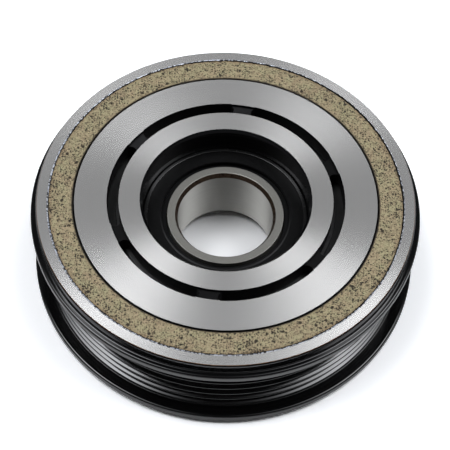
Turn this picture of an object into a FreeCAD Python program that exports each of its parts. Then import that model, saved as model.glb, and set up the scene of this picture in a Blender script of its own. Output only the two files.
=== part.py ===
import FreeCAD, Part
import math
import os

# Rotor pulley of an electromagnetic clutch, with its bearing and its field coil.
# Millimetres. The axis of rotation is Z. The hub's rear end stands on z = 0 and the
# friction face looks up.

HEIGHT = 35.0                 # resting plane to friction face
REAR_Z = 2.0                  # underside of the rear flange

# rotor body
FACE_R = 62.1                 # outer edge of the ground face
RIM_R = 62.55                 # rim below the edge chamfer
RIM_CHAMFER = 0.5             # height of the edge chamfer
RIM_Z = HEIGHT - 4.05         # underside of the rim, where the pulley ring meets it
RIM_FOOT = 0.6                # the rim widens by this where it meets the flange
RIM_FOOT_EDGE = 0.1
RIM_FOOT_RADIUS = 0.5
SEAT_R = 27.5                 # bearing seat, and the recess in front of it
MOUTH_CHAMFER = 0.95          # chamfer at the mouth of the recess
INNER_POLE_R = 34.0
OUTER_POLE_INNER_R = 51.5
CAVITY_Z = HEIGHT - 6.0       # roof of the coil cavity
INNER_POLE_Z = 0.0            # rear end of the inner pole, which is the hub
OUTER_POLE_Z = REAR_Z + 1.0   # rear end of the outer pole
ROTOR_EDGE = 0.3              # small chamfer on the rear ends

# slots in the face
SLOT_INNER_R = 35.4
SLOT_OUTER_R = 39.3
BRIDGE_OUTER_R = 39.1         # the bridges are sunk between these two radii
BRIDGE_DEPTH = 1.2
SLOT_COUNT = 6
BRIDGE_ANGLE = 23.4           # middle of the first bridge, degrees
BRIDGE_MID_WIDTH = 5.9        # narrowest width of a bridge
BRIDGE_END_WIDTH = 8.3        # width of a bridge where it meets the poles

# friction ring
FRICTION_INNER_R = 49.9
FRICTION_OUTER_R = 58.9
FRICTION_DEPTH = 2.0
FRICTION_GAP = 0.5            # open joint on each side of the ring
FRICTION_SINK = 0.04          # the ring lies this much below the face

# pulley ring
PULLEY_BORE_R = 55.0
CREST_R = 60.54               # tops of the belt ribs
FRONT_FLANGE_R = 64.5
REAR_FLANGE_R = 64.9
FRONT_FLANGE_UNDER_Z = HEIGHT - 6.5
REAR_FLANGE_TOP_Z = REAR_Z + 2.7
FLANGE_CORNER = 0.75
FLANGE_UNDER_CORNER = 0.35
RIB_PITCH = 3.56
RIB_COUNT = 6                 # grooves
FIRST_CREST_Z = HEIGHT - 8.54
RIB_HALF_ANGLE = 20.0
RIB_TIP_RADIUS = 0.35
RIB_ROOT_RADIUS = 0.45
WELD_LEG = 0.9

# bearing, double row
BORE_R = 16.0
BEARING_Z = REAR_Z + 0.5      # rear face
BEARING_WIDTH = 23.0
INNER_LAND_R = 19.54          # outside of the inner ring
OUTER_LAND_R = 24.0           # inside of the outer ring
BORE_CHAMFER_R = 0.85
BORE_CHAMFER_Z = 1.6
RING_EDGE = 0.2
OUTER_RING_CHAMFER = 0.45
PITCH_R = 21.75
BALL_R = 3.0
BALL_GAP = 0.08               # ball to raceway
BALLS_PER_ROW = 18
ROW_OFFSET = 4.9              # each row to the middle of the bearing
CAGE_INNER_R = 20.45
CAGE_OUTER_R = 23.1
CAGE_FOOT = 1.3               # cage, from the row's plane towards the middle
CAGE_BACK = 3.7               # cage, from the row's plane towards the seal
POCKET_GAP = 0.12

# seals
SEAL_SEAT_R = 26.1
SEAL_SINK = 0.4               # seal face below the ring face
SEAL_DEPTH = 2.2
SEAL_LIP_R = 19.84
SEAL_STEP_R = 21.4            # the thin lip starts inside this radius
SEAL_LIP_SINK = 1.3
SEAL_RIB_HEIGHT = 0.12
INSERT_INNER_R = 20.7
INSERT_OUTER_R = 25.2
INSERT_THICKNESS = 0.5

# field coil
COIL_AIR_GAP = 0.6
COIL_FRONT_GAP = 0.7
PLATE_Z = REAR_Z + 0.5
PLATE_THICKNESS = 2.0
SHELL_WALL = 2.0
SHELL_WEB = 2.5
SHELL_FRONT_Z = CAVITY_Z - COIL_FRONT_GAP
SHELL_INNER_R = INNER_POLE_R + COIL_AIR_GAP
SHELL_OUTER_R = OUTER_POLE_INNER_R - COIL_AIR_GAP
WEB_Z = PLATE_Z + PLATE_THICKNESS
ROOM_Z = WEB_Z + SHELL_WEB
ROOM_INNER_R = SHELL_INNER_R + SHELL_WALL
ROOM_OUTER_R = SHELL_OUTER_R - SHELL_WALL
BOBBIN_WALL = 1.1
BOBBIN_FRONT_Z = SHELL_FRONT_Z - 2.3
BOBBIN_EDGE_GAP = 0.2
WINDING_OUTER_R = 47.7
TAPE_THICKNESS = 0.4
POTTING_SINK = 0.3
MOUNT_HOLE_R = 2.5            # tapping size of an M6 thread
MOUNT_HOLE_CIRCLE_R = 42.75
MOUNT_HOLE_COUNT = 4
MOUNT_HOLE_ANGLE = 45.0
FUSE_R = 1.0
FUSE_LENGTH = 8.0
FUSE_LIFT = 0.2               # over the bobbin, so that its back shows above the potting

# terminal block, let into the plate and the web at angle 0
BLOCK_R = 42.75
BLOCK_RADIAL = 7.0
BLOCK_WIDTH = 13.0
BLOCK_CORNER = 1.2
SOCKET_WALL = 1.0
SOCKET_DEPTH = 3.2
BLADE_WIDTH = 2.8
BLADE_THICKNESS = 0.6
BLADE_HEIGHT = 2.9
BLADE_SPACING = 5.0
DIODE_R = 0.55
DIODE_LENGTH = 3.0

UP = FreeCAD.Vector(0, 0, 1)


def point(radius, z):
    return FreeCAD.Vector(radius, 0, z)


def corner_wire(points):
    """Closed outline in the XZ plane. A point is (radius, z) or (radius, z, rounding)."""
    edges = []
    count = len(points)
    starts = []
    ends = []
    arcs = []
    for i in range(count):
        here = point(points[i][0], points[i][1])
        rounding = points[i][2] if len(points[i]) > 2 else 0.0
        if not rounding:
            starts.append(here)
            ends.append(here)
            arcs.append(None)
            continue
        before = point(*points[i - 1][:2])
        after = point(*points[(i + 1) % count][:2])
        to_before = (before - here).normalize()
        to_after = (after - here).normalize()
        half = to_before.getAngle(to_after) / 2
        reach = rounding / math.tan(half)
        first = here + to_before * reach
        last = here + to_after * reach
        middle_way = (to_before + to_after).normalize()
        middle = here + middle_way * (rounding / math.sin(half) - rounding)
        starts.append(first)
        ends.append(last)
        arcs.append(Part.Arc(first, middle, last).toShape())
    for i in range(count):
        if arcs[i]:
            edges.append(arcs[i])
        following = (i + 1) % count
        if ends[i].distanceToPoint(starts[following]) > 1e-6:
            edges.append(Part.LineSegment(ends[i], starts[following]).toShape())
    return Part.Wire(edges)


def turned(points):
    """Solid of revolution about Z from an outline."""
    face = Part.Face(corner_wire(points))
    return face.revolve(FreeCAD.Vector(0, 0, 0), UP, 360)


def tube(inner, outer, low, high):
    return turned([(inner, low), (outer, low), (outer, high), (inner, high)])


def polar(radius, degrees, z=0.0):
    angle = math.radians(degrees)
    return FreeCAD.Vector(radius * math.cos(angle), radius * math.sin(angle), z)


def around(shape, count, first_angle=0.0):
    """Copies of a shape, evenly spaced about Z."""
    copies = []
    for i in range(count):
        copy = shape.copy()
        copy.rotate(FreeCAD.Vector(0, 0, 0), UP, first_angle + 360.0 * i / count)
        copies.append(copy)
    return copies


def save(name, shape):
    if not shape.isValid():
        raise ValueError(name + " isn't a valid shape")
    shape.exportStep(os.path.join("parts", name + ".step"))
    print("%-26s %3d solids %10.1f mm3" % (name, len(shape.Solids), shape.Volume))


# ---------------------------------------------------------------- rotor

def slot_cutter(low, high):
    """One curved slot: two round walls joined by ends that bulge towards the bridges."""
    mid_r = (SLOT_INNER_R + SLOT_OUTER_R) / 2
    pitch = 360.0 / SLOT_COUNT

    def edge_angle(radius, width):
        return math.degrees(width / 2 / radius)

    outer_from = edge_angle(SLOT_OUTER_R, BRIDGE_END_WIDTH)
    inner_from = edge_angle(SLOT_INNER_R, BRIDGE_END_WIDTH)
    mid_from = edge_angle(mid_r, BRIDGE_MID_WIDTH)
    corners = [
        polar(SLOT_INNER_R, inner_from, low),
        polar(mid_r, mid_from, low),
        polar(SLOT_OUTER_R, outer_from, low),
        polar(SLOT_OUTER_R, pitch / 2, low),
        polar(SLOT_OUTER_R, pitch - outer_from, low),
        polar(mid_r, pitch - mid_from, low),
        polar(SLOT_INNER_R, pitch - inner_from, low),
        polar(SLOT_INNER_R, pitch / 2, low),
        polar(SLOT_INNER_R, inner_from, low),
    ]
    arcs = [Part.Arc(*corners[i:i + 3]).toShape() for i in range(0, 8, 2)]
    return Part.Face(Part.Wire(arcs)).extrude(UP * (high - low))


def rotor_body():
    top = HEIGHT
    body = turned([
        (SEAT_R, INNER_POLE_Z + ROTOR_EDGE),
        (SEAT_R + ROTOR_EDGE, INNER_POLE_Z),
        (INNER_POLE_R - ROTOR_EDGE, INNER_POLE_Z),
        (INNER_POLE_R, INNER_POLE_Z + ROTOR_EDGE),
        (INNER_POLE_R, CAVITY_Z, 0.5),
        (OUTER_POLE_INNER_R, CAVITY_Z, 0.5),
        (OUTER_POLE_INNER_R, OUTER_POLE_Z + ROTOR_EDGE),
        (OUTER_POLE_INNER_R + ROTOR_EDGE, OUTER_POLE_Z),
        (PULLEY_BORE_R, OUTER_POLE_Z),
        (PULLEY_BORE_R, RIM_Z),
        (RIM_R + RIM_FOOT, RIM_Z),
        (RIM_R + RIM_FOOT, RIM_Z + RIM_FOOT_EDGE),
        (RIM_R, RIM_Z + RIM_FOOT_EDGE, RIM_FOOT_RADIUS),
        (RIM_R, top - RIM_CHAMFER, 0.2),
        (FACE_R, top),
        (FRICTION_OUTER_R, top),
        (FRICTION_OUTER_R, top - FRICTION_DEPTH),
        (FRICTION_INNER_R, top - FRICTION_DEPTH),
        (FRICTION_INNER_R, top),
        (BRIDGE_OUTER_R, top),
        (BRIDGE_OUTER_R, top - BRIDGE_DEPTH),
        (SLOT_INNER_R, top - BRIDGE_DEPTH),
        (SLOT_INNER_R, top),
        (SEAT_R + MOUTH_CHAMFER, top),
        (SEAT_R, top - MOUTH_CHAMFER),
    ])
    cutter = slot_cutter(CAVITY_Z - 1, top + 1)
    return body.cut(around(cutter, SLOT_COUNT, BRIDGE_ANGLE))


def friction_ring():
    top = HEIGHT - FRICTION_SINK
    return tube(FRICTION_INNER_R + FRICTION_GAP, FRICTION_OUTER_R - FRICTION_GAP,
                HEIGHT - FRICTION_DEPTH, top)


def belt_outline():
    """Outline points of the ribbed seat, from the front down to the rear."""
    slope = math.radians(RIB_HALF_ANGLE)
    lift = 1 / math.sin(slope) - 1
    sharp_crest = CREST_R + RIB_TIP_RADIUS * lift
    sharp_root = sharp_crest - RIB_PITCH / 2 / math.tan(slope)
    half_flat = (sharp_crest - CREST_R) * math.tan(slope)
    outline = []
    for i in range(RIB_COUNT + 1):
        crest_z = FIRST_CREST_Z - i * RIB_PITCH
        if i == 0:
            outline.append((CREST_R, crest_z - half_flat, RIB_TIP_RADIUS))
        elif i == RIB_COUNT:
            outline.append((CREST_R, crest_z + half_flat, RIB_TIP_RADIUS))
        else:
            outline.append((sharp_crest, crest_z, RIB_TIP_RADIUS))
        if i < RIB_COUNT:
            outline.append((sharp_root, crest_z - RIB_PITCH / 2, RIB_ROOT_RADIUS))
    return outline


def pulley_ring():
    outline = [
        (PULLEY_BORE_R, RIM_Z),
        (FRONT_FLANGE_R, RIM_Z, FLANGE_CORNER),
        (FRONT_FLANGE_R, FRONT_FLANGE_UNDER_Z, FLANGE_UNDER_CORNER),
        (CREST_R, FRONT_FLANGE_UNDER_Z, FLANGE_UNDER_CORNER),
    ]
    outline += belt_outline()
    outline += [
        (CREST_R, REAR_FLANGE_TOP_Z, FLANGE_UNDER_CORNER),
        (REAR_FLANGE_R, REAR_FLANGE_TOP_Z, FLANGE_CORNER),
        (REAR_FLANGE_R, REAR_Z, FLANGE_UNDER_CORNER),
        (PULLEY_BORE_R, REAR_Z),
    ]
    return turned(outline)


def rotor_weld_seam():
    """Fillet weld between the rear end of the outer pole and the bore of the pulley ring."""
    return turned([
        (PULLEY_BORE_R, OUTER_POLE_Z),
        (PULLEY_BORE_R - WELD_LEG, OUTER_POLE_Z),
        (PULLEY_BORE_R - WELD_LEG / 3, OUTER_POLE_Z - WELD_LEG / 2.2),
        (PULLEY_BORE_R, OUTER_POLE_Z - WELD_LEG),
    ])


# ---------------------------------------------------------------- bearing

def race_cutter(row_z):
    return Part.makeTorus(PITCH_R, BALL_R + BALL_GAP, FreeCAD.Vector(0, 0, row_z), UP)


def row_heights():
    middle = BEARING_Z + BEARING_WIDTH / 2
    return middle + ROW_OFFSET, middle - ROW_OFFSET


def bearing_inner_ring():
    low = BEARING_Z
    high = BEARING_Z + BEARING_WIDTH
    ring = turned([
        (BORE_R, low + BORE_CHAMFER_Z),
        (BORE_R + BORE_CHAMFER_R, low, 0.25),
        (INNER_LAND_R, low, RING_EDGE),
        (INNER_LAND_R, high, RING_EDGE),
        (BORE_R + BORE_CHAMFER_R, high, 0.25),
        (BORE_R, high - BORE_CHAMFER_Z),
    ])
    return ring.cut([race_cutter(z) for z in row_heights()])


def bearing_outer_ring():
    low = BEARING_Z
    high = BEARING_Z + BEARING_WIDTH
    ledge = SEAL_SINK + SEAL_DEPTH
    ring = turned([
        (OUTER_LAND_R, low + ledge),
        (SEAL_SEAT_R, low + ledge),
        (SEAL_SEAT_R, low, RING_EDGE),
        (SEAT_R, low, OUTER_RING_CHAMFER),
        (SEAT_R, high, OUTER_RING_CHAMFER),
        (SEAL_SEAT_R, high, RING_EDGE),
        (SEAL_SEAT_R, high - ledge),
        (OUTER_LAND_R, high - ledge),
    ])
    return ring.cut([race_cutter(z) for z in row_heights()])


def ball_row(row_z):
    ball = Part.makeSphere(BALL_R, FreeCAD.Vector(PITCH_R, 0, row_z))
    return Part.makeCompound(around(ball, BALLS_PER_ROW))


def ball_cage(row_z, outward):
    """Crown cage: a ring behind the balls, with pockets that open towards the middle."""
    ends = sorted([row_z - outward * CAGE_FOOT, row_z + outward * CAGE_BACK])
    ring = tube(CAGE_INNER_R, CAGE_OUTER_R, ends[0], ends[1])
    pocket = Part.makeSphere(BALL_R + POCKET_GAP, FreeCAD.Vector(PITCH_R, 0, row_z))
    return ring.cut(around(pocket, BALLS_PER_ROW))


def seal_level(outward, depth):
    """Height of a point that lies a given depth below the bearing's front or rear face."""
    face = BEARING_Z + BEARING_WIDTH if outward > 0 else BEARING_Z
    return face - outward * depth


def bearing_seal(outward):
    """Rubber seal held in the outer ring, with its lip just clear of the inner ring."""
    back = SEAL_SINK + SEAL_DEPTH
    insert_back = back - INSERT_THICKNESS
    outline = [
        (SEAL_LIP_R, SEAL_LIP_SINK + SEAL_SINK),
        (SEAL_STEP_R, SEAL_LIP_SINK + SEAL_SINK),
        (SEAL_STEP_R, SEAL_SINK - SEAL_RIB_HEIGHT),
        (SEAL_STEP_R + 0.5, SEAL_SINK),
        (SEAL_SEAT_R, SEAL_SINK),
        (SEAL_SEAT_R, back),
        (INSERT_OUTER_R, back),
        (INSERT_OUTER_R, insert_back),
        (INSERT_INNER_R, insert_back),
        (INSERT_INNER_R, back),
        (SEAL_LIP_R, back),
    ]
    return turned([(radius, seal_level(outward, depth)) for radius, depth in outline])


def seal_insert(outward):
    back = SEAL_SINK + SEAL_DEPTH
    ends = sorted([seal_level(outward, back), seal_level(outward, back - INSERT_THICKNESS)])
    return tube(INSERT_INNER_R, INSERT_OUTER_R, ends[0], ends[1])


# ---------------------------------------------------------------- field coil

def mount_hole_cutters():
    low = PLATE_Z - 1
    hole = Part.makeCylinder(MOUNT_HOLE_R, ROOM_Z - low, polar(MOUNT_HOLE_CIRCLE_R, 0, low))
    return around(hole, MOUNT_HOLE_COUNT, MOUNT_HOLE_ANGLE)


def rounded_block(radial, width, low, high, corner):
    corner_at = FreeCAD.Vector(BLOCK_R - radial / 2, -width / 2, low)
    block = Part.makeBox(radial, width, high - low, corner_at)
    upright = [edge for edge in block.Edges if edge.BoundBox.ZLength > (high - low) / 2]
    return block.makeFillet(corner, upright)


def block_cutter():
    return rounded_block(BLOCK_RADIAL, BLOCK_WIDTH, PLATE_Z - 1, ROOM_Z, BLOCK_CORNER)


def coil_mounting_plate():
    plate = turned([
        (SHELL_INNER_R, PLATE_Z),
        (SHELL_OUTER_R, PLATE_Z, 0.3),
        (SHELL_OUTER_R, WEB_Z),
        (SHELL_INNER_R, WEB_Z),
    ])
    return plate.cut(mount_hole_cutters() + [block_cutter()])


def coil_shell():
    """Steel channel, open towards the rotor's face."""
    shell = turned([
        (SHELL_INNER_R, WEB_Z),
        (SHELL_OUTER_R, WEB_Z, 0.8),
        (SHELL_OUTER_R, SHELL_FRONT_Z, 0.3),
        (ROOM_OUTER_R, SHELL_FRONT_Z, 0.3),
        (ROOM_OUTER_R, ROOM_Z),
        (ROOM_INNER_R, ROOM_Z),
        (ROOM_INNER_R, SHELL_FRONT_Z, 0.3),
        (SHELL_INNER_R, SHELL_FRONT_Z, 0.3),
    ])
    return shell.cut(mount_hole_cutters() + [block_cutter()])


def coil_bobbin():
    rim_r = ROOM_OUTER_R - BOBBIN_EDGE_GAP
    core_r = ROOM_INNER_R + BOBBIN_WALL
    return turned([
        (ROOM_INNER_R, ROOM_Z),
        (rim_r, ROOM_Z),
        (rim_r, ROOM_Z + BOBBIN_WALL),
        (core_r, ROOM_Z + BOBBIN_WALL),
        (core_r, BOBBIN_FRONT_Z - BOBBIN_WALL),
        (rim_r, BOBBIN_FRONT_Z - BOBBIN_WALL),
        (rim_r, BOBBIN_FRONT_Z),
        (ROOM_INNER_R, BOBBIN_FRONT_Z),
    ])


def winding_ends():
    return ROOM_Z + BOBBIN_WALL, BOBBIN_FRONT_Z - BOBBIN_WALL


def coil_winding():
    low, high = winding_ends()
    return tube(ROOM_INNER_R + BOBBIN_WALL, WINDING_OUTER_R, low, high)


def coil_tape():
    low, high = winding_ends()
    return tube(WINDING_OUTER_R, WINDING_OUTER_R + TAPE_THICKNESS, low, high)


def thermal_fuse():
    """Short cylinder lying across the front of the bobbin, held by the potting."""
    middle_r = (ROOM_INNER_R + ROOM_OUTER_R) / 2
    axis_z = BOBBIN_FRONT_Z + FUSE_LIFT + FUSE_R
    start = FreeCAD.Vector(-FUSE_LENGTH / 2, middle_r, axis_z)
    return Part.makeCylinder(FUSE_R, FUSE_LENGTH, start, FreeCAD.Vector(1, 0, 0))


def coil_potting():
    cap = tube(ROOM_INNER_R, ROOM_OUTER_R, BOBBIN_FRONT_Z, SHELL_FRONT_Z - POTTING_SINK)
    return cap.cut(thermal_fuse())


def diode():
    start = FreeCAD.Vector(BLOCK_R, -DIODE_LENGTH / 2, ROOM_Z - DIODE_R)
    return Part.makeCylinder(DIODE_R, DIODE_LENGTH, start, FreeCAD.Vector(0, 1, 0))


def terminal_block():
    block = rounded_block(BLOCK_RADIAL, BLOCK_WIDTH, PLATE_Z, ROOM_Z, BLOCK_CORNER)
    socket = rounded_block(BLOCK_RADIAL - 2 * SOCKET_WALL, BLOCK_WIDTH - 2 * SOCKET_WALL,
                           PLATE_Z - 1, PLATE_Z + SOCKET_DEPTH, BLOCK_CORNER / 2)
    return block.cut([socket, diode()])


def terminal_blades():
    blades = []
    for side in (-1, 1):
        corner_at = FreeCAD.Vector(BLOCK_R - BLADE_THICKNESS / 2,
                                   side * BLADE_SPACING / 2 - BLADE_WIDTH / 2,
                                   PLATE_Z + SOCKET_DEPTH - BLADE_HEIGHT)
        blades.append(Part.makeBox(BLADE_THICKNESS, BLADE_WIDTH, BLADE_HEIGHT, corner_at))
    return Part.makeCompound(blades)


def main():
    os.makedirs("parts", exist_ok=True)
    front_z, rear_z = row_heights()
    save("rotor_body", rotor_body())
    save("pulley_ring", pulley_ring())
    save("rotor_weld_seam", rotor_weld_seam())
    save("friction_ring", friction_ring())
    save("bearing_inner_ring", bearing_inner_ring())
    save("bearing_outer_ring", bearing_outer_ring())
    save("front_balls", ball_row(front_z))
    save("rear_balls", ball_row(rear_z))
    save("front_cage", ball_cage(front_z, 1))
    save("rear_cage", ball_cage(rear_z, -1))
    save("front_seal", bearing_seal(1))
    save("rear_seal", bearing_seal(-1))
    save("front_seal_insert", seal_insert(1))
    save("rear_seal_insert", seal_insert(-1))
    save("coil_mounting_plate", coil_mounting_plate())
    save("coil_shell", coil_shell())
    save("coil_bobbin", coil_bobbin())
    save("coil_winding", coil_winding())
    save("coil_tape", coil_tape())
    save("coil_potting", coil_potting())
    save("coil_thermal_fuse", thermal_fuse())
    save("coil_terminal_block", terminal_block())
    save("coil_terminal_blades", terminal_blades())
    save("coil_diode", diode())


main()
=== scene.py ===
import math

import bpy
from mathutils import Matrix, Vector, noise


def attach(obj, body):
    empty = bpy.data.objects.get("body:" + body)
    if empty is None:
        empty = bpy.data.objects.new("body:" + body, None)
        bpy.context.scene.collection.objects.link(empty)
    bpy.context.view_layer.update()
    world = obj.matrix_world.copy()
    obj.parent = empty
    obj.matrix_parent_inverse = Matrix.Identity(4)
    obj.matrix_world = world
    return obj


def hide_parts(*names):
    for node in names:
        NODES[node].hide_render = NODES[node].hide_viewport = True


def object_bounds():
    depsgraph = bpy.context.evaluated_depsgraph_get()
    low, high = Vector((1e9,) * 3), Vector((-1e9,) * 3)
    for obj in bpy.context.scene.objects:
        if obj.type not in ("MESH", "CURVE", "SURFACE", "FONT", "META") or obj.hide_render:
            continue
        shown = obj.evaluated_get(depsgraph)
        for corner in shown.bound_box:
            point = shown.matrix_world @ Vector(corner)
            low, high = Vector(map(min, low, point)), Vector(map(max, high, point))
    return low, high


# Looks of a clutch rotor pulley, standing face up on a white table. Metres, in the CAD frame.

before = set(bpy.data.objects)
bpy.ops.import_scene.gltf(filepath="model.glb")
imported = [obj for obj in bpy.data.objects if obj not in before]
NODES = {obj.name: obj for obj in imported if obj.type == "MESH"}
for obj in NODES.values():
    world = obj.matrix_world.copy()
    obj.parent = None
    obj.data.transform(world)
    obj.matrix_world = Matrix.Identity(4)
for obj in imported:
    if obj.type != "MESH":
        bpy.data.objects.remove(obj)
CAD_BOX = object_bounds()
TOP = CAD_BOX[1].z                    # height of the friction face
MM = 0.001

# ---------------------------------------------------------------- node helpers


class Paint:
    """A node material with one Principled shader, and short ways to add nodes to it."""

    def __init__(self, name, **constants):
        self.material = bpy.data.materials.new(name)
        self.material.use_nodes = True
        self.nodes = self.material.node_tree.nodes
        self.links = self.material.node_tree.links
        self.nodes.clear()
        self.output = self.nodes.new("ShaderNodeOutputMaterial")
        self.shader = self.nodes.new("ShaderNodeBsdfPrincipled")
        self.links.new(self.shader.outputs["BSDF"], self.output.inputs["Surface"])
        for socket, value in constants.items():
            self.shader.inputs[socket.replace("_", " ")].default_value = value
        self.place = self.add("ShaderNodeTexCoord").outputs["Object"]

    def add(self, kind, settings=None, **inputs):
        node = self.nodes.new(kind)
        for key, value in (settings or {}).items():
            setattr(node, key, value)
        for key, value in inputs.items():
            self.feed(node, key.replace("_", " "), value)
        return node

    def feed(self, node, key, value):
        socket = node.inputs[int(key[1:])] if key[0] == "i" and key[1:].isdigit() else node.inputs[key]
        if isinstance(value, bpy.types.NodeSocket):
            self.links.new(value, socket)
        else:
            socket.default_value = value

    def set(self, socket, value):
        self.feed(self.shader, socket, value)

    def math(self, operation, a, b=0.0, c=0.0):
        node = self.add("ShaderNodeMath", {"operation": operation}, i0=a, i1=b, i2=c)
        return node.outputs[0]

    def ramp(self, value, low, high, to_low=0.0, to_high=1.0):
        """Linear change between two inputs, held at the ends."""
        node = self.add("ShaderNodeMapRange", {"clamp": True})
        for index, given in enumerate((value, low, high, to_low, to_high)):
            self.feed(node, "i%d" % index, given)
        return node.outputs[0]

    def mix(self, factor, a, b):
        node = self.add("ShaderNodeMix", {"data_type": "RGBA"})
        self.feed(node, "i0", factor)
        self.feed(node, "i6", a)
        self.feed(node, "i7", b)
        return node.outputs[2]

    def noise(self, place, scale, detail=2.0, roughness=0.5):
        node = self.add("ShaderNodeTexNoise", Vector=place, Scale=scale, Detail=detail,
                        Roughness=roughness)
        return node.outputs["Fac"]

    def cells(self, place, scale, flat=False):
        """Random cells; flat ones depend on x and y only."""
        settings = {"voronoi_dimensions": "2D"} if flat else None
        return self.add("ShaderNodeTexVoronoi", settings, Vector=place, Scale=scale)

    def red(self, node):
        """A random number for each cell."""
        return self.add("ShaderNodeSeparateColor", Color=node.outputs["Color"]).outputs[0]

    def polar(self):
        """Radius, unit direction in the plane, and height of a point."""
        parts = self.add("ShaderNodeSeparateXYZ", Vector=self.place).outputs
        flat = self.add("ShaderNodeVectorMath", {"operation": "MULTIPLY"}, i0=self.place,
                        i1=(1, 1, 0)).outputs[0]
        radius = self.add("ShaderNodeVectorMath", {"operation": "LENGTH"}, i0=flat).outputs["Value"]
        way = self.add("ShaderNodeVectorMath", {"operation": "NORMALIZE"}, i0=flat).outputs[0]
        return radius, way, parts["Z"]

    def ring_place(self, radius, way, height, across, along, upright=0.0):
        """Coordinates for marks that run round the axis: dense across, long along."""
        spun = self.add("ShaderNodeVectorMath", {"operation": "SCALE"}, i0=way)
        self.feed(spun, "Scale", along)
        lift = self.math("ADD", self.math("MULTIPLY", radius, across),
                         self.math("MULTIPLY", height, upright))
        offset = self.add("ShaderNodeCombineXYZ", Z=lift).outputs[0]
        return self.add("ShaderNodeVectorMath", {"operation": "ADD"}, i0=spun.outputs[0],
                        i1=offset).outputs[0]

    def bump(self, height, distance, strength=1.0, normal=None):
        node = self.add("ShaderNodeBump", Height=height, Distance=distance, Strength=strength)
        if normal is not None:
            self.feed(node, "Normal", normal)
        return node.outputs[0]


def grey(value):
    return (value, value, value, 1.0)


# ---------------------------------------------------------------- materials

def ring_marks(paint, across, along, detail=3.0):
    """Noise drawn out round the axis, like the marks of turning or grinding."""
    radius, way, height = paint.polar()
    place = paint.ring_place(radius, way, height, across, along, across)
    return paint.noise(place, 1.0, detail, 0.65)


def set_turned(paint):
    """Marks that run round the axis spread light across themselves."""
    tangent = paint.add("ShaderNodeTangent", {"direction_type": "RADIAL", "axis": "Z"})
    paint.set("Tangent", tangent.outputs[0])


def turned_steel():
    """Face ground on a rotary table, with a few specks of dust."""
    paint = Paint("turned_steel", Metallic=0.74, Anisotropic=0.878, Anisotropic_Rotation=0.25)
    marks = ring_marks(paint, 9000.0, 1.5)
    broad = ring_marks(paint, 260.0, 0.9, 2.0)
    tone = paint.math("ADD", paint.math("MULTIPLY", marks, 0.5), paint.math("MULTIPLY", broad, 0.5))
    colour = paint.mix(paint.ramp(tone, 0.35, 0.65), (0.645, 0.635, 0.62, 1), (0.685, 0.675, 0.655, 1))
    dust = paint.cells(paint.place, 160.0)
    near = paint.ramp(dust.outputs["Distance"], 0.028, 0.014)
    chosen = paint.ramp(paint.red(dust), 0.78, 0.80)
    colour = paint.mix(paint.math("MULTIPLY", near, chosen), colour, (1.0, 1.0, 1.0, 1))
    paint.set("Base Color", colour)
    paint.set("Roughness", paint.ramp(marks, 0.3, 0.7, 0.25, 0.27))
    set_turned(paint)
    paint.set("Normal", paint.bump(marks, 0.0000008, 0.5))
    return paint.material


def black_coat(name="black_coat", brown_edge=False):
    """Thin glossy black dip coat over turned steel; on the face's edge it is worn to brown."""
    paint = Paint(name, IOR=1.5)
    soft = paint.noise(paint.place, 900.0, 2.0, 0.5)
    wide = paint.noise(paint.place, 90.0, 2.0, 0.5)
    marks = ring_marks(paint, 5000.0, 2.0)
    colour = paint.mix(wide, (0.0022, 0.0022, 0.0024, 1), (0.0038, 0.0038, 0.0041, 1))
    if brown_edge:
        height = paint.polar()[2]
        ragged = paint.math("MULTIPLY_ADD", soft, 0.00025, height)
        worn = paint.ramp(ragged, TOP - 0.00006, TOP + 0.00010)
        colour = paint.mix(worn, colour, (0.16, 0.085, 0.045, 1))
    paint.set("Base Color", colour)
    paint.set("Roughness", paint.ramp(marks, 0.3, 0.7, 0.06, 0.12))
    paint.set("Normal", paint.bump(marks, 0.0000015, 0.6, paint.bump(soft, 0.000004, 0.5)))
    return paint.material


OLIVE = (0.335, 0.305, 0.178, 1)
TAN = (0.345, 0.274, 0.172, 1)
UMBER = (0.150, 0.112, 0.070, 1)
RUSTY = (0.225, 0.16, 0.095, 1)
GRAIN = (0.022, 0.018, 0.014, 1)

# Layers of dark grains in the facing: cells per metre, share without a grain, size, strength.
GRAIN_LAYERS = ((1900.0, 0.10, 0.50, 0.85), (1150.0, 0.30, 0.46, 0.9), (600.0, 0.74, 0.38, 0.92))
RUSTY_OUTER = (0.0578, 0.0592)        # radii between which the outer edge turns rusty
RUSTY_INNER = (0.0522, 0.0512)
PAINTED_SHADE_INNER = (0.05092, 0.05070)       # the innermost edge is painted nearly black: painted shade at the gap


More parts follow.
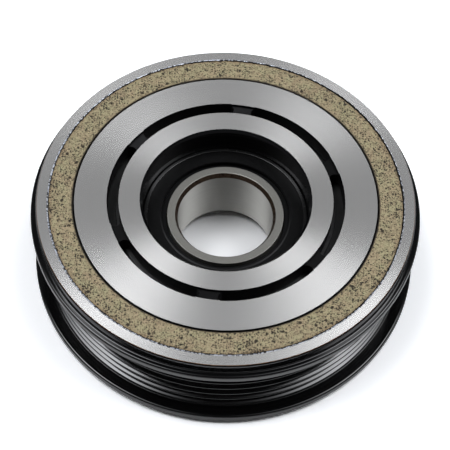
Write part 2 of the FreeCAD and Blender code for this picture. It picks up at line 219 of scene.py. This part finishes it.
def friction_facing():
    """Moulded tan facing, mottled, full of small dark grains and a few light ones."""
    paint = Paint("friction_facing", Roughness=0.85, Specular_IOR_Level=0.25)
    radius = paint.polar()[0]
    warp = paint.add("ShaderNodeTexNoise", Vector=paint.place, Scale=2200.0, Detail=2.0)
    shift = paint.add("ShaderNodeVectorMath", {"operation": "SCALE"}, i0=warp.outputs["Color"])
    paint.feed(shift, "Scale", 0.00075)
    bent = paint.add("ShaderNodeVectorMath", {"operation": "ADD"}, i0=paint.place,
                     i1=shift.outputs[0]).outputs[0]
    cloud = paint.noise(paint.place, 330.0, 4.0, 0.6)
    fibre = paint.noise(paint.place, 1500.0, 3.0, 0.7)
    crowd = paint.noise(paint.place, 170.0, 2.0, 0.5)
    base = paint.mix(paint.ramp(cloud, 0.36, 0.64), OLIVE, TAN)
    base = paint.mix(paint.ramp(fibre, 0.56, 0.34, 0.0, 0.75), base, UMBER)
    edge = paint.math("ADD", radius, paint.math("MULTIPLY", cloud, 0.0016))
    base = paint.mix(paint.ramp(edge, *RUSTY_OUTER, 0.0, 0.75), base, RUSTY)
    base = paint.mix(paint.ramp(edge, *RUSTY_INNER, 0.0, 0.5), base, RUSTY)
    # Painted shade: the facing's innermost edge is painted nearly black, to stand for the shade in the
    # gap beside it.
    base = paint.mix(paint.ramp(radius, *PAINTED_SHADE_INNER, 0.0, 0.9), base, GRAIN)
    depth = 0.0
    for scale, first, size, strength in GRAIN_LAYERS:
        grains = paint.cells(bent, scale, True)
        pick = paint.math("ADD", paint.red(grains), paint.ramp(crowd, 0.35, 0.65, -0.16, 0.10))
        reach = paint.ramp(pick, first, 1.0, 0.0, size)
        off = paint.math("SUBTRACT", reach, grains.outputs["Distance"])
        spot = paint.math("MULTIPLY", paint.ramp(off, 0.0, 0.07), strength)
        base = paint.mix(spot, base, GRAIN)
        depth = paint.math("MAXIMUM", depth, spot)
    glints = paint.cells(paint.place, 800.0, True)
    light = paint.math("MULTIPLY", paint.ramp(glints.outputs["Distance"], 0.16, 0.10),
                       paint.ramp(paint.red(glints), 0.955, 0.96))
    base = paint.mix(light, base, (0.55, 0.46, 0.26, 1))
    paint.set("Base Color", base)
    paint.set("Roughness", paint.ramp(cloud, 0.3, 0.7, 0.78, 0.92))
    hollow = paint.math("SUBTRACT", cloud, paint.math("MULTIPLY", depth, 0.8))
    paint.set("Normal", paint.bump(hollow, 0.00009, 0.7))
    return paint.material


def plain(name, colour, roughness, metallic=0.0, grain=400.0, depth=0.00001, vary=0.2, shine=0.5):
    """A simple material with a little grain in its colour, its roughness and its surface."""
    paint = Paint(name, Metallic=metallic, Specular_IOR_Level=shine)
    grains = paint.noise(paint.place, grain, 3.0, 0.6)
    dark = tuple(c * (1 - vary) for c in colour) + (1.0,)
    light = tuple(min(1.0, c * (1 + vary)) for c in colour) + (1.0,)
    paint.set("Base Color", paint.mix(paint.ramp(grains, 0.3, 0.7), dark, light))
    paint.set("Roughness", paint.ramp(grains, 0.3, 0.7, roughness * 0.85, min(1.0, roughness * 1.15)))
    paint.set("Normal", paint.bump(grains, depth, 0.5))
    return paint.material


def ground_bore():
    """Bore ground round and round, so its wall smears light along the axis."""
    paint = Paint("ground_bore", Metallic=0.9, Anisotropic=0.94, Anisotropic_Rotation=0.25)
    marks = ring_marks(paint, 5000.0, 1.2)
    paint.set("Base Color", paint.mix(paint.ramp(marks, 0.3, 0.7), (0.38, 0.373, 0.352, 1),
                                      (0.45, 0.443, 0.417, 1)))
    paint.set("Roughness", paint.ramp(marks, 0.3, 0.7, 0.58, 0.64))
    set_turned(paint)
    paint.set("Normal", paint.bump(marks, 0.000003, 0.5))
    return paint.material


def burr_painted_glints_and_gaps():
    """Blue-grey burr metal; its white flecks are painted glints, and its near-black patches are painted
    shade for gaps the ribbon does not have.
    """
    paint = Paint("burr_painted_glints_and_gaps", Metallic=0.5)
    flakes = paint.noise(paint.place, 1300.0, 2.0, 0.6)
    glints = paint.noise(paint.place, 2600.0, 1.0, 0.5)
    # Painted shade and painted highlights: near-black patches stand for gaps, and white flecks stand for
    # glints.
    colour = paint.mix(paint.ramp(flakes, 0.44, 0.54), (0.03, 0.03, 0.034, 1), (0.50, 0.53, 0.60, 1))
    colour = paint.mix(paint.ramp(glints, 0.62, 0.68), colour, (0.95, 0.95, 0.97, 1))
    paint.set("Base Color", colour)
    paint.set("Roughness", paint.ramp(glints, 0.3, 0.7, 0.5, 0.28))
    paint.set("Normal", paint.bump(flakes, 0.00006, 0.8))
    return paint.material


PAINTED_LIGHT_WAY = (-0.5, 0.866, 0.0)         # the bridges are painted lighter on this side: painted light


def bridge_painted_lit_side():
    """Black bridges in the bottom of the slots, painted greyer on one side of the ring as painted light
    from the lamp on that side.
    """
    paint = Paint("bridge_painted_lit_side", Specular_IOR_Level=0.12)
    grains = paint.noise(paint.place, 1400.0, 3.0, 0.6)
    toward = paint.add("ShaderNodeVectorMath", {"operation": "DOT_PRODUCT"}, i0=paint.polar()[1],
                       i1=PAINTED_LIGHT_WAY).outputs["Value"]
    # Painted light: the bridges' colour turns greyer toward the side where the lamp lights them.
    painted_light = paint.math("MULTIPLY", paint.ramp(toward, 0.2, 0.95), paint.ramp(grains, 0.2, 0.8, 0.7, 1.3))
    paint.set("Base Color", paint.mix(painted_light, (0.0016, 0.0016, 0.0017, 1), (0.014, 0.014, 0.0145, 1)))
    paint.set("Roughness", paint.ramp(grains, 0.3, 0.7, 0.38, 0.5))
    paint.set("Normal", paint.bump(grains, 0.00002, 0.5))
    return paint.material


# ---------------------------------------------------------------- pieces

def ring_object(name, sections, material):
    """Closed ring from one closed section of points (radius, angle, height) for each angle."""
    count = len(sections)
    size = len(sections[0])
    points = []
    for section in sections:
        for radius, angle, height in section:
            points.append((radius * math.cos(angle), radius * math.sin(angle), height))
    faces = []
    for i in range(count):
        j = (i + 1) % count
        for k in range(size):
            m = (k + 1) % size
            faces.append((i * size + k, j * size + k, j * size + m, i * size + m))
    mesh = bpy.data.meshes.new(name)
    mesh.from_pydata(points, [], faces)
    mesh.materials.append(material)
    piece = bpy.data.objects.new(name, mesh)
    bpy.context.scene.collection.objects.link(piece)
    return piece


def wobble(angle, radius, height, grain, seed):
    """Smooth random value from -1 to 1 at a point, with bumps about one grain wide."""
    at = Vector((radius * math.cos(angle), radius * math.sin(angle), height)) / grain
    return noise.noise(at + Vector((seed, 2 * seed, 0)))


FACING_STEPS = 1150                   # round the ring
FACING_ROWS = 26                      # across it
FACING_INNER = 50.50 * MM
FACING_OUTER = 58.28 * MM
FACING_SINK = 0.04 * MM
GROOVE_FLOOR = TOP - 2.0 * MM


def make_facing():
    """Friction facing with slightly uneven top and chipped edges, down to the groove's floor."""
    sections = []
    for i in range(FACING_STEPS):
        angle = 2 * math.pi * i / FACING_STEPS
        chip_in = max(0.0, wobble(angle, FACING_INNER, 0.0, 0.9 * MM, 3.0) - 0.1) * 0.28 * MM
        chip_out = abs(wobble(angle, FACING_OUTER, 0.0, 1.1 * MM, 5.0)) * 0.34 * MM
        fine = wobble(angle, FACING_OUTER, 0.0, 0.5 * MM, 7.0) * 0.06 * MM
        first = FACING_INNER + chip_in
        last = FACING_OUTER - chip_out + fine
        section = [(first, angle, GROOVE_FLOOR)]
        for row in range(FACING_ROWS + 1):
            radius = first + (last - first) * row / FACING_ROWS
            dip = 0.022 * MM * (1 + wobble(angle, radius, 0.0, 1.2 * MM, 9.0))
            if row in (0, FACING_ROWS):
                dip += 0.10 * MM
            section.append((radius, angle, TOP - FACING_SINK - dip))
        section.append((last, angle, GROOVE_FLOOR))
        sections.append(section[::-1])
    piece = ring_object("facing", sections, friction_facing())
    # The facing's walls inside the groove are painted nearly black: painted shade in the gaps, not the
    # facing's own colour.
    piece.data.materials.append(plain("facing_wall_painted_shade", (0.012, 0.009, 0.007), 0.7, shine=0.2))
    for polygon in piece.data.polygons:
        if abs(polygon.normal.z) < 0.5:
            polygon.material_index = 1
    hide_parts("friction_ring")
    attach(piece, "rotor")


BURR_ROOT = 58.91 * MM                # the groove's outer wall
BURR_STEPS = 2400
BURR_SIDE = math.radians(225)         # where the burr is longest


def make_burr():
    """Ragged burr, left by turning, on the outer edge of the groove. It is longest on one side."""
    sections = []
    for i in range(BURR_STEPS):
        angle = 2 * math.pi * i / BURR_STEPS
        side = 0.5 + 0.5 * math.cos(angle - BURR_SIDE)
        long = 0.08 + 0.44 * side ** 0.6
        reach = long * (1.0 + 0.5 * wobble(angle, BURR_ROOT, 0.0, 3.0 * MM, 11.0))
        reach += 0.18 * wobble(angle, BURR_ROOT, 0.0, 0.5 * MM, 13.0)
        reach = min(max(0.02, reach), 0.5) * MM
        droop = (0.07 + 0.06 * wobble(angle, BURR_ROOT, 0.0, 0.8 * MM, 17.0)) * MM
        sections.append([(BURR_ROOT, angle, TOP - 0.30 * MM), (BURR_ROOT, angle, TOP - 0.015 * MM),
                         (BURR_ROOT - reach, angle, TOP - 0.02 * MM - droop)])
    piece = ring_object("groove_burr", sections, burr_painted_glints_and_gaps())
    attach(piece, "rotor")


# The pulley ring in mm, turned in fine steps. Its outline is (radius, height, corner rounding),
# clockwise from the bore.
FACE = TOP / MM
PULLEY_STEPS = 540
CORNER_STEPS = 6
BORE = 55.0
CREST = 60.54                         # tops of the belt ribs
FRONT_FLANGE = 64.5
REAR_FLANGE = 64.9
FLANGE_ROUND = 0.75
SMALL_ROUND = 0.35
ROOT_ROUND = 0.45
FRONT_TOP = FACE - 4.05
FRONT_UNDER = FACE - 6.5
REAR_TOP = FACE - 30.3
REAR_UNDER = FACE - 33.0
FIRST_CREST = FACE - 8.54
PITCH = 3.56
GROOVES = 6
LAST_CREST = FIRST_CREST - GROOVES * PITCH
HALF_ANGLE = math.radians(20)         # of a groove
SHARP_CREST = CREST + SMALL_ROUND * (1 / math.sin(HALF_ANGLE) - 1)
SHARP_ROOT = SHARP_CREST - PITCH / 2 / math.tan(HALF_ANGLE)
CREST_HALF = (SHARP_CREST - CREST) * math.tan(HALF_ANGLE)
FRONT_OUTLINE = [(BORE, FRONT_TOP, 0), (FRONT_FLANGE, FRONT_TOP, FLANGE_ROUND),
                 (FRONT_FLANGE, FRONT_UNDER, SMALL_ROUND), (CREST, FRONT_UNDER, SMALL_ROUND),
                 (CREST, FIRST_CREST - CREST_HALF, SMALL_ROUND)]
REAR_OUTLINE = [(CREST, LAST_CREST + CREST_HALF, SMALL_ROUND), (CREST, REAR_TOP, SMALL_ROUND),
                (REAR_FLANGE, REAR_TOP, FLANGE_ROUND), (REAR_FLANGE, REAR_UNDER, SMALL_ROUND),
                (BORE, REAR_UNDER, 0)]


def pulley_outline():
    ribs = []
    for i in range(GROOVES):
        if i:
            ribs.append((SHARP_CREST, FIRST_CREST - i * PITCH, SMALL_ROUND))
        ribs.append((SHARP_ROOT, FIRST_CREST - (i + 0.5) * PITCH, ROOT_ROUND))
    return FRONT_OUTLINE + ribs + REAR_OUTLINE


def rounded(outline):
    """Points along a clockwise outline with its corners rounded, each with its normal."""
    run = []
    for i, (x, z, rounding) in enumerate(outline):
        here = Vector((x, z))
        way_in = (here - Vector(outline[i - 1][:2])).normalized()
        way_out = (Vector(outline[(i + 1) % len(outline)][:2]) - here).normalized()
        normal_in = Vector((-way_in.y, way_in.x))
        normal_out = Vector((-way_out.y, way_out.x))
        if not rounding:
            run += [(here, normal_in), (here, normal_out)]
            continue
        turn = normal_in.angle_signed(normal_out)
        side = 1 if way_in.cross(way_out) < 0 else -1
        reach = rounding * math.tan(abs(turn) / 2)
        centre = here - way_in * reach - normal_in * rounding * side
        for k in range(CORNER_STEPS + 1):
            normal = normal_in.slerp(normal_out, k / CORNER_STEPS)
            run.append((centre + normal * rounding * side, normal))
    return run


def make_pulley(material):
    """Pulley ring turned in fine steps, with exact normals on its rounded edges."""
    run = rounded(pulley_outline())
    points = []
    normals = []
    for i in range(PULLEY_STEPS):
        angle = 2 * math.pi * i / PULLEY_STEPS
        x = math.cos(angle)
        y = math.sin(angle)
        for at, normal in run:
            points.append((at.x * x * MM, at.x * y * MM, at.y * MM))
            normals.append((normal.x * x, normal.x * y, normal.y))
    size = len(run)
    faces = []
    for i in range(PULLEY_STEPS):
        j = (i + 1) % PULLEY_STEPS
        for k in range(size):
            m = (k + 1) % size
            if (run[k][0] - run[m][0]).length > 1e-6:
                faces.append((i * size + k, i * size + m, j * size + m, j * size + k))
    mesh = bpy.data.meshes.new("turned_pulley")
    mesh.from_pydata(points, [], faces)
    mesh.shade_smooth()
    mesh.normals_split_custom_set_from_vertices(normals)
    mesh.materials.append(material)
    piece = bpy.data.objects.new("turned_pulley", mesh)
    bpy.context.scene.collection.objects.link(piece)
    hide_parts("pulley_ring")
    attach(piece, "rotor")


def dress(name, *materials):
    """Gives a CAD node its materials; the first covers everything."""
    slots = NODES[name].data.materials
    slots.clear()
    for material in materials:
        slots.append(material)
    for polygon in NODES[name].data.polygons:
        polygon.material_index = 0


def dress_where(name, index, test):
    """Uses another of a node's materials where a test of a polygon's centre and normal passes."""
    for polygon in NODES[name].data.polygons:
        if test(polygon.center, polygon.normal):
            polygon.material_index = index


def radius_of(point):
    return math.hypot(point.x, point.y)


SLOT_RADII = (35.3 * MM, 39.4 * MM)
GROOVE_RADII = (49.8 * MM, 59.0 * MM)
EDGE_R = 62.0 * MM                    # the worn chamfer is outside this
BORE_R = 16.1 * MM                    # just outside the bore
CHAMFER_R = 16.84 * MM                # just inside the chamfer's outer edge


def dress_rotor():
    """Slots: 0 black coat, 1 ground face, 2 worn edge, 3 slots and groove, 4 bridges."""
    edge = black_coat("worn_edge", True)
    slot = plain("slot_black", (0.0012, 0.0012, 0.0013), 0.5, shine=0.25)
    bridge = bridge_painted_lit_side()
    dress("rotor_body", black_coat(), turned_steel(), edge, slot, bridge)
    dress_where("rotor_body", 1, lambda c, n: n.z > 0.99 and c.z > TOP - 0.1 * MM)
    dress_where("rotor_body", 2, lambda c, n: radius_of(c) > EDGE_R and 0.1 < n.z < 0.98
                and c.z > TOP - 0.6 * MM)
    dress_where("rotor_body", 3, lambda c, n: SLOT_RADII[0] < radius_of(c) < SLOT_RADII[1]
                and c.z < TOP - 0.05 * MM)
    dress_where("rotor_body", 4, lambda c, n: SLOT_RADII[0] < radius_of(c) < SLOT_RADII[1]
                and n.z > 0.9 and TOP - 2 * MM < c.z < TOP - 0.5 * MM)
    dress_where("rotor_body", 3, lambda c, n: GROOVE_RADII[0] < radius_of(c) < GROOVE_RADII[1]
                and TOP - 2.5 * MM < c.z < TOP - 0.05 * MM)


def dress_bearing():
    land = plain("ground_land", (0.205, 0.200, 0.182), 0.42, 0.75, 1800.0, 0.000006, 0.08)
    brown = plain("chamfer_brown", (0.045, 0.028, 0.018), 0.3, 0.5, 900.0, 0.00002, 0.4)
    dress("bearing_inner_ring", land, ground_bore(), brown)
    dress_where("bearing_inner_ring", 1, lambda c, n: radius_of(c) < BORE_R and abs(n.z) < 0.1)
    dress_where("bearing_inner_ring", 2, lambda c, n: radius_of(c) < CHAMFER_R
                and 0.1 < abs(n.z) < 0.98)
    dress("bearing_outer_ring", plain("black_oxide", (0.006, 0.006, 0.006), 0.25, 0.0))
    rubber = plain("seal_rubber", (0.0012, 0.0012, 0.0013), 0.38, 0.0, 1500.0, 0.000006, 0.2, 0.14)
    for side in ("front", "rear"):
        dress(side + "_seal", rubber)
        dress(side + "_seal_insert", plain("insert_steel", (0.4, 0.4, 0.4), 0.4, 0.9))
        dress(side + "_balls", plain("ball_steel", (0.7, 0.7, 0.7), 0.08, 1.0))
        dress(side + "_cage", plain("cage_plastic", (0.5, 0.45, 0.33), 0.5))


def dress_coil():
    dress("coil_mounting_plate", plain("plate_steel", (0.5, 0.48, 0.4), 0.4, 0.8))
    dress("coil_shell", plain("shell_steel", (0.02, 0.02, 0.02), 0.35, 0.2))
    dress("coil_bobbin", plain("bobbin_plastic", (0.5, 0.47, 0.38), 0.5))
    dress("coil_winding", plain("copper_wire", (0.5, 0.19, 0.07), 0.3, 1.0))
    dress("coil_tape", plain("tape", (0.5, 0.4, 0.18), 0.8))
    dress("coil_potting", plain("epoxy", (0.004, 0.004, 0.004), 0.35))
    dress("coil_thermal_fuse", plain("fuse_metal", (0.6, 0.6, 0.6), 0.35, 1.0))
    dress("coil_terminal_block", plain("block_plastic", (0.01, 0.01, 0.01), 0.5))
    dress("coil_terminal_blades", plain("blade_tin", (0.7, 0.68, 0.6), 0.3, 1.0))
    dress("coil_diode", plain("diode_resin", (0.01, 0.01, 0.01), 0.3))


def dress_parts():
    dress_rotor()
    dress("pulley_ring", NODES["rotor_body"].data.materials[0])
    dress("rotor_weld_seam", plain("weld", (0.02, 0.02, 0.02), 0.4, 0.3, 900.0, 0.00005))
    dress("friction_ring", plain("facing_block", (0.24, 0.2, 0.12), 0.85))
    dress_bearing()
    dress_coil()


# ---------------------------------------------------------------- stage

CAMERA_ELEVATION = 56.526             # degrees above the table
CAMERA_ROLL = 2.379                   # degrees
CAMERA_DISTANCE = 0.48627             # along the line of sight, from the face's centre
CAMERA_ASIDE = (0.000370, 0.008888)   # the line of sight misses the face's centre by this
LENS = 118.21                         # mm, on a 36 mm sensor


def make_camera():
    e = math.radians(CAMERA_ELEVATION)
    roll = math.radians(CAMERA_ROLL)
    right = Vector((1, 0, 0))
    up = Vector((0, math.sin(e), math.cos(e)))
    forward = Vector((0, math.cos(e), -math.sin(e)))
    rolled_right = right * math.cos(roll) + up * math.sin(roll)
    rolled_up = up * math.cos(roll) - right * math.sin(roll)
    place = Vector((0, 0, TOP)) - forward * CAMERA_DISTANCE
    place -= rolled_right * CAMERA_ASIDE[0] + rolled_up * CAMERA_ASIDE[1]
    data = bpy.data.cameras.new("camera")
    data.lens = LENS
    data.sensor_width = 36.0
    data.clip_start = 0.01
    camera = bpy.data.objects.new("camera", data)
    turn = Matrix((rolled_right, rolled_up, -forward)).transposed()
    camera.matrix_world = Matrix.Translation(place) @ turn.to_4x4()
    bpy.context.scene.collection.objects.link(camera)
    bpy.context.scene.camera = camera


# Two soft panels overhead, one on each side. A direction (x, y, z) is given by x/z and y/z.
# Each panel: middle of x/z, half its width where the light has fallen to half, y/z of its far
# end, how softly its sides fall off, and radiance.
PANELS = ((-0.497, 0.235, 0.340, 0.255, 12.2), (0.582, 0.050, 0.434, 0.562, 19.4))
PANEL_FRONT = -0.192                  # y/z of the near end
PANEL_END_FALL = 0.08
ROOM_LIGHT = 0.08
GROUND_LIGHT = 0.9
BACKDROP = 1.0
LIGHT_COLOUR = (0.98, 1.0, 1.035, 1.0)


def make_world():
    """Dark room with a soft panel on each side; the camera sees a plain pale backdrop."""
    world = bpy.data.worlds.new("studio")
    bpy.context.scene.world = world
    world.use_nodes = True
    tree = world.node_tree
    tree.nodes.clear()

    def add(kind, settings=None, inputs=()):
        node = tree.nodes.new(kind)
        for key, value in (settings or {}).items():
            setattr(node, key, value)
        for index, value in enumerate(inputs):
            if isinstance(value, bpy.types.NodeSocket):
                tree.links.new(value, node.inputs[index])
            elif value is not None:
                node.inputs[index].default_value = value
        return node.outputs

    def calc(operation, a, b=0.0, c=0.0):
        return add("ShaderNodeMath", {"operation": operation}, (a, b, c))[0]

    def step(value, low, high, to_low=0.0, to_high=1.0):
        return add("ShaderNodeMapRange", {"interpolation_type": "SMOOTHSTEP"},
                   (value, low, high, to_low, to_high))[0]

    way = add("ShaderNodeSeparateXYZ", None, (add("ShaderNodeTexCoord")["Generated"],))
    up = calc("MAXIMUM", way["Z"], 0.02)
    across = calc("DIVIDE", way["X"], up)
    along = calc("DIVIDE", way["Y"], up)
    front = step(along, PANEL_FRONT - PANEL_END_FALL, PANEL_FRONT + PANEL_END_FALL)
    light = step(way["Z"], -0.01, 0.01, GROUND_LIGHT, ROOM_LIGHT)
    for middle, half, end, fall, radiance in PANELS:
        off = calc("ABSOLUTE", calc("SUBTRACT", across, middle))
        width = step(off, half + fall, half - fall)
        back = step(along, end + PANEL_END_FALL, end - PANEL_END_FALL)
        panel = calc("MULTIPLY", calc("MULTIPLY", width, front), back)
        light = calc("MULTIPLY_ADD", panel, radiance, light)
    seen = add("ShaderNodeLightPath")["Is Camera Ray"]
    shown = add("ShaderNodeMix", {"data_type": "FLOAT"}, (seen, None, light, BACKDROP))[0]
    background = tree.nodes.new("ShaderNodeBackground")
    tint = add("ShaderNodeMix", {"data_type": "RGBA"})
    tint_node = tint[2].node
    tree.links.new(seen, tint_node.inputs[0])
    tint_node.inputs[6].default_value = LIGHT_COLOUR
    tint_node.inputs[7].default_value = grey(1.0)
    tree.links.new(tint[2], background.inputs["Color"])
    tree.links.new(shown, background.inputs["Strength"])
    output = tree.nodes.new("ShaderNodeOutputWorld")
    tree.links.new(background.outputs[0], output.inputs["Surface"])


FLOOR_SIZE = 2.0
WINDOW_INNER_R = 0.0345               # the table is open under the object, where nothing shows it
WINDOW_OUTER_R = 0.0570
BORE_SHADE_R = 0.0275                 # seen inside this radius, the table has no gain
TABLE_GAIN = 1.6                      # elsewhere it is this much brighter to the camera


def ring_of_points(radius, count, square=False):
    points = []
    for i in range(count):
        angle = 2 * math.pi * i / count
        x = math.cos(angle)
        y = math.sin(angle)
        reach = radius / max(abs(x), abs(y)) if square else radius
        points.append((x * reach, y * reach, 0.0))
    return points


def make_floor():
    """White table. From below it is clear, and it is open under the object, to light the underside."""
    count = 96
    points = [(0.0, 0.0, 0.0)] + ring_of_points(WINDOW_INNER_R, count)
    points += ring_of_points(WINDOW_OUTER_R, count) + ring_of_points(FLOOR_SIZE / 2, count, True)
    faces = []
    for i in range(count):
        j = (i + 1) % count
        faces.append((0, 1 + i, 1 + j))
        faces.append((1 + count + i, 1 + 2 * count + i, 1 + 2 * count + j, 1 + count + j))
    mesh = bpy.data.meshes.new("floor")
    mesh.from_pydata(points, [], faces)
    floor = bpy.data.objects.new("floor", mesh)
    floor.location.z = CAD_BOX[0].z - 0.00005
    bpy.context.scene.collection.objects.link(floor)
    paint = Paint("floor", Roughness=0.6, Specular_IOR_Level=0.2)
    fleck = paint.noise(paint.place, 60.0, 2.0)
    white = paint.mix(fleck, grey(0.86), grey(0.88))
    seen = paint.add("ShaderNodeLightPath").outputs["Is Camera Ray"]
    # Painted light: to the camera the table is painted TABLE_GAIN times brighter outside the bore; seen
    # through the bore it keeps its plain tone, a painted shade there.
    outside = paint.ramp(paint.polar()[0], BORE_SHADE_R, BORE_SHADE_R + 0.001)
    gain = paint.ramp(paint.math("MULTIPLY", seen, outside), 0.0, 1.0, 1.0, TABLE_GAIN)
    bright = paint.add("ShaderNodeVectorMath", {"operation": "SCALE"}, i0=white)
    paint.feed(bright, "Scale", gain)
    paint.set("Base Color", bright.outputs[0])
    side = paint.add("ShaderNodeNewGeometry").outputs["Backfacing"]
    clear = paint.add("ShaderNodeBsdfTransparent").outputs[0]
    both = paint.add("ShaderNodeMixShader", None, i0=side, i1=paint.shader.outputs[0], i2=clear)
    paint.links.new(both.outputs[0], paint.output.inputs["Surface"])
    mesh.materials.append(paint.material)


def main():
    bpy.context.scene.view_settings.view_transform = "Standard"
    make_camera()
    make_world()
    make_floor()
    dress_parts()
    make_facing()
    make_burr()
    make_pulley(NODES["rotor_body"].data.materials[0])


main()
